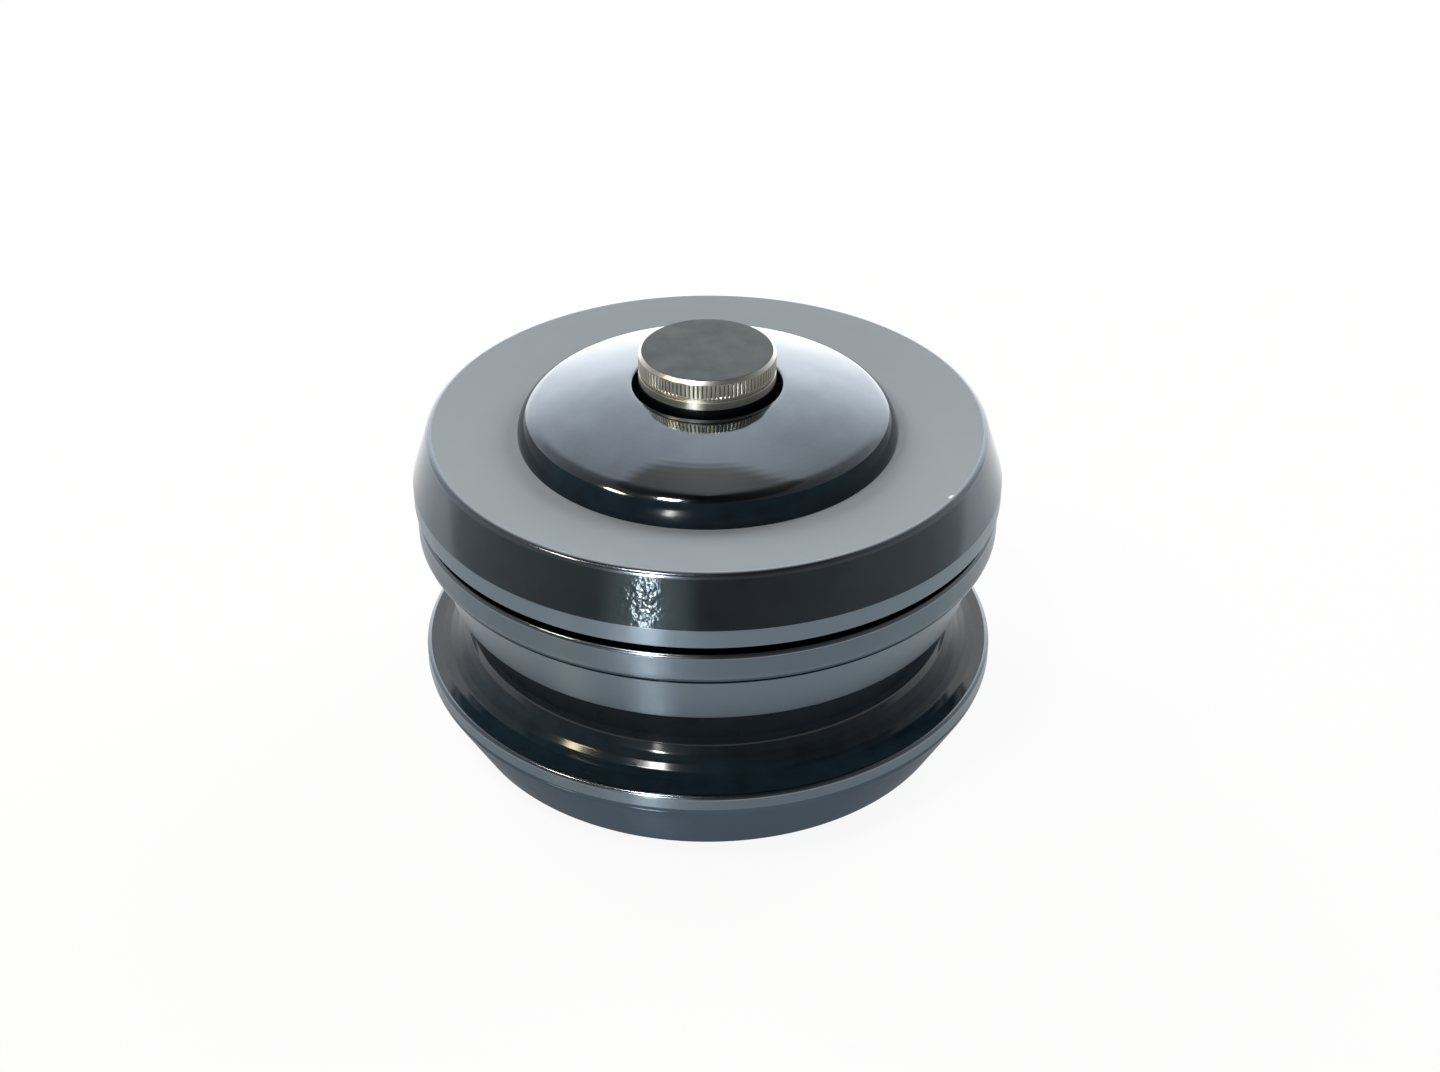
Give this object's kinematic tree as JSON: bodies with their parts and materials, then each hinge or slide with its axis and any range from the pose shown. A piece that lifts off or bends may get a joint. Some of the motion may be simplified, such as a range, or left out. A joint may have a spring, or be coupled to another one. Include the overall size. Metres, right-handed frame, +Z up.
{
  "type": "bicycle headset",
  "caption": "Stacked threadless bicycle headset with black turned cups, cartridge bearings, a wide cover, a domed top cap with its bolt, a star nut and a crown race.",
  "frame": {"origin": "on the steering axis at the bottom face of the crown race, where the stack stands", "axes": "+Z up along the steering axis, X and Y across it"},
  "size_m": [0.053, 0.053, 0.037],
  "materials": {
    "gloss_black": "gloss black anodised, satin on the cover's top face",
    "bolt_steel": "plated, fine knurl on the head",
    "bearing_steel": "ground and polished",
    "plain_alloy": "turned, natural",
    "zinc_steel": "zinc plated",
    "seal_rubber": "matt",
    "cage_nylon": "natural, moulded"
  },
  "bodies": {
    "cups": {"upper_cup": "gloss_black", "lower_cup": "gloss_black", "lower_outer_race": "bearing_steel", "lower_bottom_seal": "seal_rubber", "lower_top_seal": "seal_rubber", "upper_outer_race": "bearing_steel", "upper_bottom_seal": "seal_rubber", "upper_top_seal": "seal_rubber"},
    "upper_turning_set": {"bearing_cover": "gloss_black", "cover_wiper": "seal_rubber", "cover_o_ring": "seal_rubber", "compression_ring": "plain_alloy", "upper_inner_race": "bearing_steel", "top_cap": "gloss_black"},
    "upper_ball_set": {"upper_balls": "bearing_steel", "upper_ball_cage": "cage_nylon"},
    "crown_set": {"crown_race": "bearing_steel", "crown_race_seal": "seal_rubber", "lower_inner_race": "bearing_steel"},
    "lower_ball_set": {"lower_balls": "bearing_steel", "lower_ball_cage": "cage_nylon"},
    "bolt": {"top_cap_bolt": "bolt_steel"},
    "star_nut": {"star_nut_hub": "zinc_steel", "star_nut_upper_plate": "zinc_steel", "star_nut_lower_plate": "zinc_steel"}
  },
  "joints": [
    {"name": "cover_spin", "type": "hinge", "parent": "cups", "child": "upper_turning_set", "pos_m": [0, 0, 0.01925], "axis": [0, 0, 1], "continuous": true},
    {"name": "upper_ball_spin", "type": "hinge", "parent": "cups", "child": "upper_ball_set", "pos_m": [0, 0, 0.01925], "axis": [0, 0, 1], "continuous": true},
    {"name": "crown_spin", "type": "hinge", "parent": "cups", "child": "crown_set", "pos_m": [0, 0, 0.00545], "axis": [0, 0, 1], "continuous": true},
    {"name": "lower_ball_spin", "type": "hinge", "parent": "cups", "child": "lower_ball_set", "pos_m": [0, 0, 0.00545], "axis": [0, 0, 1], "continuous": true},
    {"name": "bolt_turn", "type": "hinge", "parent": "upper_turning_set", "child": "bolt", "pos_m": [0, 0, 0.031], "axis": [0, 0, 1], "range_deg": [0, 3240]},
    {"name": "nut_travel", "type": "slide", "parent": "upper_turning_set", "child": "star_nut", "axis": [0, 0, -1], "range_m": [0, 0.009]}
  ],
  "couplings": [
    {"joint": "upper_ball_spin", "follows": "cover_spin", "ratio": 0.4684},
    {"joint": "lower_ball_spin", "follows": "crown_spin", "ratio": 0.4684},
    {"joint": "bolt_turn", "follows": "nut_travel", "rad_per_m": 6283.2}
  ]
}
